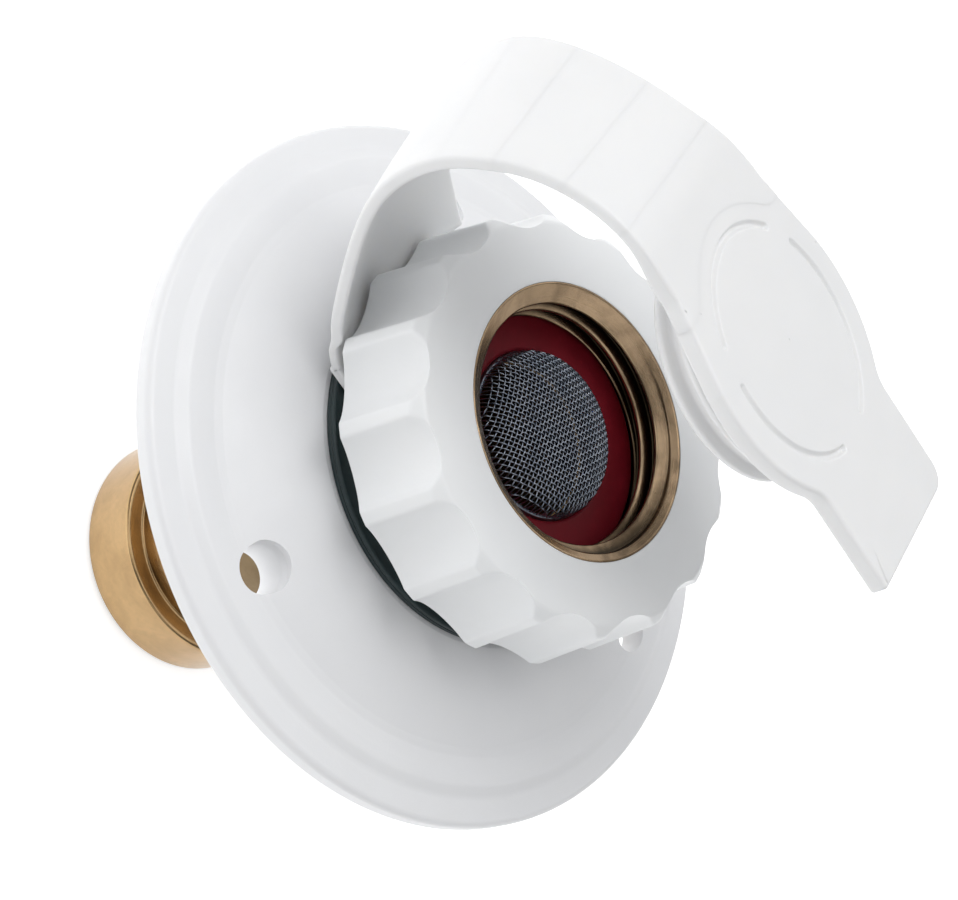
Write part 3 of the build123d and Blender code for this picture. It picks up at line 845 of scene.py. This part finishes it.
def cup(s):
    """How far the strap's edges curl in round the nut, 12 mm from its middle."""
    return 3.1 * ease(s, 0.8, 5.6) * (1 - ease(s, 9.0, 19.0))


def twist(s):
    """How far the strap's +X edge swings further out over the arch."""
    return 3.0 * ease(s, 8.0, 16.0) * (1 - ease(s, 33.0, 17.0))


def roll_at(s):
    return PLUG_ROLL * ease(s, 38.5, 17.5)


def rolled(points, degrees):
    """Turn points about the roll axis, parallel to Y at x = 0."""
    angle = np.radians(degrees)
    cosine, sine = np.cos(angle), np.sin(angle)
    x, z = points[..., 0], points[..., 2] - ROLL_Z
    return np.stack([x * cosine + z * sine, points[..., 1],
                     -x * sine + z * cosine + ROLL_Z], -1)


def band_end(to_disc, last):
    """Station at which each section point's line ends."""
    if not to_disc:
        return np.full(len(STRAP_SECTION), last)
    # the end follows the disc's round edge, so the strap runs flush into its face
    x = STRAP_SECTION[:, 0] * (STRAP_HALF_WIDTH + 3.0) / STRAP_HALF_WIDTH
    return DISC_AXIS_STATION - np.sqrt(np.maximum((DISC_R - 1.6) ** 2 - x ** 2, 9.4 ** 2))


def strap_ring_points(s, to_disc):
    """One cross-section of the strap, with a station for each of its points."""
    across, depth = STRAP_SECTION.T
    points, direction = strap_path(np.minimum(s, STRAP_END))
    points = points + direction * np.maximum(s - STRAP_END, 0)[:, None]
    left, right = strap_sides(s)
    if to_disc:
        # the underside thickens to the disc's own thickness
        depth = np.where(depth > 0, depth + 0.5 * ease(s, 55.0, 5.5),
                         depth - 0.012 * ease(s, 57.5, 3.0))
        # beyond the disc's edge the sides follow its web, a hair outside it;
        # 0.2773 and 0.9608 are the sine and cosine of the web's slope
        web = (DISC_R - 0.2773 * (DISC_AXIS_STATION - s)) / 0.9608 + 0.05
        left, right = np.minimum(left, -web), np.maximum(right, web)
    u = 0.5 + 0.5 * across / STRAP_HALF_WIDTH
    x = left + (right - left) * u
    depth = depth + cup(s) * (x / 12.0) ** 2
    # the normal, (-dz, dy), points to the inner side of the arch
    y = points[:, 0] - direction[:, 1] * depth + twist(s) * u
    z = points[:, 1] + direction[:, 0] * depth
    return rolled(np.stack([x, y, z], -1), roll_at(s))


def strap_band(name, first, last, to_disc):
    steps = int(round((last - first) / 0.22))
    end = band_end(to_disc, last)
    rings = [strap_ring_points(first + (end - first) * i / steps, to_disc)
             for i in range(steps + 1)]
    faces = grid_quads(len(rings), len(STRAP_SECTION), order="bcda", closed=False)
    return build(name, np.concatenate(rings), faces.tolist(), STRAP_PLASTIC)


def make_strap():
    """Nine bands of the strap, one between each pair of neighbouring cuts; the CAD links they replace are hidden.
    """
    cuts = [1.7, 8.0, 16.0, 23.0, 29.0, 35.0, 41.0, 47.5, 54.0, 58.3]
    for i, (first, last) in enumerate(zip(cuts, cuts[1:])):
        to_disc = i == 8
        band = strap_band("strap_band_%d" % (i + 1), first, last, to_disc)
        if i == 6:
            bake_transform(band)
        else:
            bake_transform(band)
        if not to_disc:
            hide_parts("strap_link_%d" % (i + 1))


# ==================================================== strap ring and plug disc
def outline_radius(shape, angles, largest):
    """Largest radius at which shape (negative inside) is zero, for each angle."""
    cosine, sine = np.cos(angles), np.sin(angles)
    inner = np.full(len(angles), 1.0)
    found = np.zeros(len(angles), bool)
    for r in np.linspace(largest, 1.0, 400):
        inside = shape(r * cosine, r * sine) < 0
        inner[inside & ~found] = r
        found |= inside
    outer = inner + (largest - 1) / 399
    for _ in range(30):
        middle = (inner + outer) / 2
        inside = shape(middle * cosine, middle * sine) < 0
        inner = np.where(inside, middle, inner)
        outer = np.where(inside, outer, middle)
    return (inner + outer) / 2


def even_outline(shape, count):
    """Evenly spaced points on the shape's outline, and their outward normals."""
    angles = np.radians(np.linspace(0, 360, 4321)[:-1])
    r = outline_radius(shape, angles, largest=30)
    loop = np.stack([r * np.cos(angles), r * np.sin(angles)], -1)
    loop = np.vstack([loop, loop[:1]])
    length = np.concatenate([[0], np.cumsum(np.linalg.norm(np.diff(loop, axis=0), axis=1))])
    at = np.arange(count) / count * length[-1]
    points = np.stack([np.interp(at, length, loop[:, axis]) for axis in (0, 1)], -1)
    chord = np.roll(points, -1, 0) - np.roll(points, 1, 0)
    return points, unit(np.stack([chord[:, 1], -chord[:, 0]], -1))


def rounded_box(x, y, x0, x1, y0, y1, r):
    qx = np.abs(x - (x0 + x1) / 2) - (x1 - x0) / 2 + r
    qy = np.abs(y - (y0 + y1) / 2) - (y1 - y0) / 2 + r
    outside = np.hypot(np.maximum(qx, 0), np.maximum(qy, 0))
    return np.minimum(np.maximum(qx, qy), 0) + outside - r


def at_height(points, z):
    return np.column_stack([points, np.full(len(points), float(z))])


def rounded_edge(points, normals, radius, face_z, steps, wall):
    """Rings from a flat face over its rounded edge to the side wall.
    wall is 1 where the wall rises from the face and -1 where it drops."""
    return [at_height(points - normals * radius * (1 - math.sin(a)),
                      face_z + wall * radius * (1 - math.cos(a)))
            for a in (math.pi / 2 * k / steps for k in range(steps + 1))]


def unit_circle(points):
    """Points on the unit circle, in the same directions as the given ones."""
    angles = np.arctan2(points[:, 1], points[:, 0])
    return np.column_stack([np.cos(angles), np.sin(angles)])


def ring_shape(x, y):
    """The strap's ring with the root of the strap on its +Y side."""
    root = rounded_box(x, y, -10.7, 12.5, 0, 18.6, 0.3)
    return smooth_min(np.hypot(x, y) - 18.0, root, 1.2)


def make_strap_ring():
    low, top = z_span("strap_ring")
    top = min(top, 9.9)
    edge_r, bore_r, bevel = 0.35, 11.18, 0.2
    points, normals = even_outline(ring_shape, 480)
    circle = unit_circle(points)
    rings = rounded_edge(points, normals, edge_r, low, steps=5, wall=1)
    rings += rounded_edge(points, normals, edge_r, top, steps=5, wall=-1)[::-1]
    for r, z in ((14.0, top), (11.4, top), (bore_r, top - bevel),
                 (bore_r, low + bevel), (11.4, low), (14.0, low)):
        rings.append(at_height(r * circle, z))
    ring = build("strap_ring_loop", np.concatenate(rings),
                 grid_quads(len(rings), len(points)).tolist(), STRAP_PLASTIC)
    register(ring, "strap_ring", "white_strap", "strap_ring")


DISC_TOP = STRAP_PATH[-1][1] + STRAP_THICKNESS / 2
DISC_LOW = DISC_TOP - 1.9
TAB_SLANT = 0.035               # slope of the tab's end, y over x


def disc_shape(x, y):
    """The plug's disc, its web to the strap on +Y and its pull tab on -Y."""
    slanted = y + TAB_SLANT * x
    # the tab's -X corner is crisp, the +X one is well rounded
    tab = np.minimum(rounded_box(x, slanted, -10.0, 10.4, -23.55, -4, 2.4),
                     rounded_box(x, slanted, -10.0, 3.0, -23.55, -4, 0.5))
    slope = math.radians(16.1)
    side = np.abs(x) * math.cos(slope) + y * math.sin(slope) - DISC_R
    web = np.maximum(np.maximum(side, y - 11.4), 3.0 - y)
    return smooth_min(np.minimum(np.hypot(x, y) - DISC_R, web), tab, 1.0)


def arc_depth(x, y):
    """Depth of the three recessed arcs in the disc's upper face."""
    arc_r = 11.6
    radius = np.hypot(x, y)
    angle = np.degrees(np.arctan2(y, x))
    depth = np.zeros_like(radius)
    for start, end in ((48, 151), (172, 257), (-70, 27)):
        off_middle = np.abs((angle - (start + end) / 2 + 180) % 360 - 180)
        past_end = np.maximum(off_middle - (end - start) / 2, 0) * math.pi / 180 * arc_r
        distance = np.hypot(radius - arc_r, past_end)
        depth = np.maximum(depth, 0.42 * (1 - ease(distance, 0.10, 0.40)))
    return depth


# Hollow plug with two ribs: (radius, depth below the disc), outside first, then the inside
PLUG_OUTLINE = [
    (11.5, 0), (11.3, 0.2), (11.3, 1.4), (11.55, 1.62), (11.9, 1.86), (12.0, 2.05),
    (12.0, 2.35), (11.9, 2.55), (11.55, 2.78), (11.3, 3.0), (11.3, 3.65), (11.55, 3.85),
    (11.9, 4.08), (12.0, 4.3), (12.0, 4.6), (11.9, 4.8), (11.6, 5.1), (11.3, 5.32),
    (11.1, 5.4), (10.0, 5.4), (9.75, 5.3), (9.6, 5.05), (9.6, 0.35), (9.5, 0.1), (9.25, 0),
    (5, 0), (0.05, 0)]


def make_plug():
    count = 900
    top_edge, low_edge = 0.5, 0.4
    face_r = 13.3               # the face is in circles out to here, then nears the outline
    points, normals = even_outline(disc_shape, count)
    circle = unit_circle(points)
    rings = []
    for r in [0.05, 2, 4, 6, 8, 9.5, 10.4, *np.arange(10.9, 12.35, 0.06), 12.7, face_r]:
        flat = r * circle
        rings.append(np.column_stack([flat, DISC_TOP - arc_depth(*flat.T)]))
    inset = points - normals * (top_edge + 0.15)
    for f in np.linspace(0.12, 1.0, 10):
        rings.append(at_height(face_r * circle * (1 - f) + inset * f, DISC_TOP))
    rings += rounded_edge(points, normals, top_edge, DISC_TOP, steps=7, wall=-1)
    rings += rounded_edge(points, normals, low_edge, DISC_LOW, steps=6, wall=1)[-2::-1]
    inset = points - normals * (low_edge + 0.2)
    rings.append(at_height(inset, DISC_LOW))
    for f in np.linspace(0.25, 1.0, 5):
        rings.append(at_height(12.2 * circle * f + inset * (1 - f), DISC_LOW))
    rings += [at_height(r * circle, DISC_LOW - depth) for r, depth in PLUG_OUTLINE]
    faces = grid_quads(len(rings), count, closed=False).tolist()
    faces.append(list(range(count)))
    faces.append(list(range(len(rings) * count - 1, (len(rings) - 1) * count - 1, -1)))
    plug = build("tethered_plug_disc", rolled(np.concatenate(rings), PLUG_ROLL), faces,
                 STRAP_PLASTIC)
    register(plug, "plug", "white_strap", "tethered_plug")


def make_tab_lip():
    """Bar along X under the end of the tab, narrowed at both ends."""
    start, end, count = -7.6, 7.4, 24
    section = bar_section(0.62, 1.25, corner_r=0.28, corner_steps=4, face_steps=4)
    rings = []
    for x in np.linspace(start, end, count):
        size = min(1.0, 0.55 + min(x - start, end - x) / 0.9)
        rings.append(np.column_stack([
            np.full(len(section), x), -22.86 - TAB_SLANT * x + section[:, 0] * size,
            DISC_LOW - 0.42 + section[:, 1] * size]))
    lip = build("plug_tab_lip", rolled(np.concatenate(rings), PLUG_ROLL),
                tube_faces(count, len(section)), STRAP_PLASTIC)
    register(lip, "plug", "white_strap")


# ================================================================ valve inside
def make_spring():
    """Coil with closed end turns, built at one length."""
    low, top = z_span("valve_spring")
    coil_r, wire_r, turns = 4.3, 0.33, 6.0
    count, sides = 260, 10
    t = np.linspace(0, 1, count)
    lead = np.interp(t, [0.0, 0.13, 0.87, 1.0], [0.0, 0.085, 0.915, 1.0])
    z = low + wire_r + lead * (top - low - 2 * wire_r)
    cosine, sine = np.cos(TAU * turns * t), np.sin(TAU * turns * t)
    path = np.stack([coil_r * cosine, coil_r * sine, z], -1)
    outward = np.stack([cosine, sine, 0 * t], -1)
    along = unit(np.gradient(path, axis=0))
    rings = wire_rings(path, outward, np.cross(along, outward), wire_r, sides)
    coil = build("valve_spring_coil", rings.reshape(-1, 3),
                 tube_faces(count, sides, order="dcba"), SPRING_STEEL)
    register(coil, "base", "spring_steel", "valve_spring")
    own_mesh(coil)


def dress_cad_nodes():
    """New materials for the CAD pieces that stay."""
    for name, material in (("valve_poppet", VALVE_PLASTIC), ("poppet_seal", SEAL_RUBBER),
                           ("valve_guide", VALVE_PLASTIC), ("guide_snap_ring", SPRING_STEEL)):
        slots = frame["nodes"][name].data.materials
        if slots:
            for i in range(len(slots)):
                slots[i] = material
        else:
            slots.append(material)


# ======================================================= stage, light and camera
# The camera's axes in the scene, and its place in metres
CAMERA_RIGHT = Vector((0.49, -0.5547, 0.6725)).normalized()
CAMERA_UP = Vector((0.575, 0.7855, 0.2289)).normalized()
CAMERA_BACK = Vector((-0.6552, 0.2746, 0.7038)).normalized()
CAMERA_PLACE = Vector((-181.0, 76.4, 202.7)) * MM


def make_floor():
    grid = bmesh.new()
    bmesh.ops.create_grid(grid, x_segments=2, y_segments=2, size=2.5)
    mesh = bpy.data.meshes.new("studio_floor")
    grid.to_mesh(mesh)
    grid.free()
    floor = bpy.data.objects.new("studio_floor", mesh)
    floor.location = (0, 0, (float(CAD_LO[2]) / MM - 0.4) * MM)
    scene.collection.objects.link(floor)
    paper = Look("floor_paper")
    paper.set({
        "Roughness": 0.9,
        "Specular IOR Level": 0.1,
        "Base Color": (0.93, 0.93, 0.93, 1),
        "Emission Color": (1, 1, 1, 1),
        "Emission Strength": 0.62})
    mesh.materials.append(paper.material)


def make_world():
    """Soft gradient for diffuse light, bright bands for reflections, white for the camera."""
    world = bpy.data.worlds.new("studio")
    scene.world = world
    world.use_nodes = True
    tree = world.node_tree
    tree.nodes.clear()

    def facing(direction, target):
        """Cosine between the view ray and a direction, remapped from -1..1."""
        rays = add_node(tree, "ShaderNodeTexCoord").outputs["Generated"]
        dot = add_node(tree, "ShaderNodeVectorMath", {0: rays, 1: tuple(direction)},
                       operation="DOT_PRODUCT")
        return remap_node(tree, dot.outputs["Value"], source=(-1, 1), target=target)

    def background(color, strength):
        inputs = {"Color": color, "Strength": strength}
        return add_node(tree, "ShaderNodeBackground", inputs).outputs[0]

    bright_side = (CAMERA_RIGHT * 0.62 + CAMERA_UP * 0.62 + CAMERA_BACK * 0.48).normalized()
    soft = background((0.985, 0.99, 1.0, 1), facing(bright_side, target=(0.13, 0.69)))

    # position and grey level of the bands seen in reflections
    bands = [(0.0, 0.06), (0.22, 0.10), (0.34, 0.75), (0.44, 0.85), (0.52, 0.12),
             (0.62, 0.10), (0.72, 1.1), (0.84, 1.2), (0.93, 0.35), (1.0, 0.3)]
    ramp = add_node(tree, "ShaderNodeValToRGB", {0: facing((0.35, 0.80, 0.48), target=(0, 1))})
    elements = ramp.color_ramp.elements
    while len(elements) < len(bands):
        elements.new(0.5)
    for element, (position, grey) in zip(elements, bands):
        element.position = position
        element.color = (grey, grey, grey, 1)
    banded = background(ramp.outputs[0], 0.8)
    white = background((1, 1, 1, 1), 1.0)

    path = add_node(tree, "ShaderNodeLightPath").outputs
    lighting = add_node(tree, "ShaderNodeMixShader",
                        {0: path["Is Glossy Ray"], 1: soft, 2: banded}).outputs[0]
    seen = add_node(tree, "ShaderNodeMixShader",
                    {0: path["Is Camera Ray"], 1: lighting, 2: white}).outputs[0]
    add_node(tree, "ShaderNodeOutputWorld", {0: seen})


def add_light(name, direction, distance, size, power):
    """Disk light aimed at a point just above the flange; lengths in metres, power in watts."""
    light = bpy.data.lights.new(name, "AREA")
    light.shape = "DISK"
    light.size = size
    light.energy = power
    lamp = bpy.data.objects.new(name, light)
    direction = direction.normalized()
    lamp.location = Vector((0, 0, 0.02)) + direction * distance
    lamp.rotation_mode = "QUATERNION"
    lamp.rotation_quaternion = (-direction).to_track_quat("-Z", "Y")
    scene.collection.objects.link(lamp)


def make_lights():
    add_light("key", CAMERA_UP * 0.75 + CAMERA_RIGHT * 0.55 + CAMERA_BACK * 0.85,
              distance=0.55, size=0.42, power=1.40)
    add_light("fill", -CAMERA_RIGHT * 0.9 + CAMERA_UP * 0.35 + CAMERA_BACK * 0.5,
              distance=0.65, size=0.5, power=0.22)
    add_light("top", Vector((0, 0, 1)), distance=0.7, size=0.6, power=0.45)


def make_camera():
    data = bpy.data.cameras.new("camera")
    data.sensor_width = 36.0
    data.lens = 99.62004
    data.clip_start, data.clip_end = 0.01, 20
    camera = bpy.data.objects.new("camera", data)
    pose = Matrix((CAMERA_RIGHT, CAMERA_UP, CAMERA_BACK)).transposed().to_4x4()
    pose.translation = CAMERA_PLACE
    camera.matrix_world = pose
    scene.collection.objects.link(camera)
    scene.camera = camera
    scene.view_settings.view_transform = "Standard"
    scene.view_settings.look = "None"


make_flange()
make_gasket()
make_nut_grip()
make_thread_insert()
make_washer()
make_strainer()
make_neck()
make_valve_body()
make_coupler()
make_lock_nut()
make_strap()
make_strap_ring()
make_plug()
make_tab_lip()
make_spring()
dress_cad_nodes()
make_floor()
make_world()
make_lights()
make_camera()
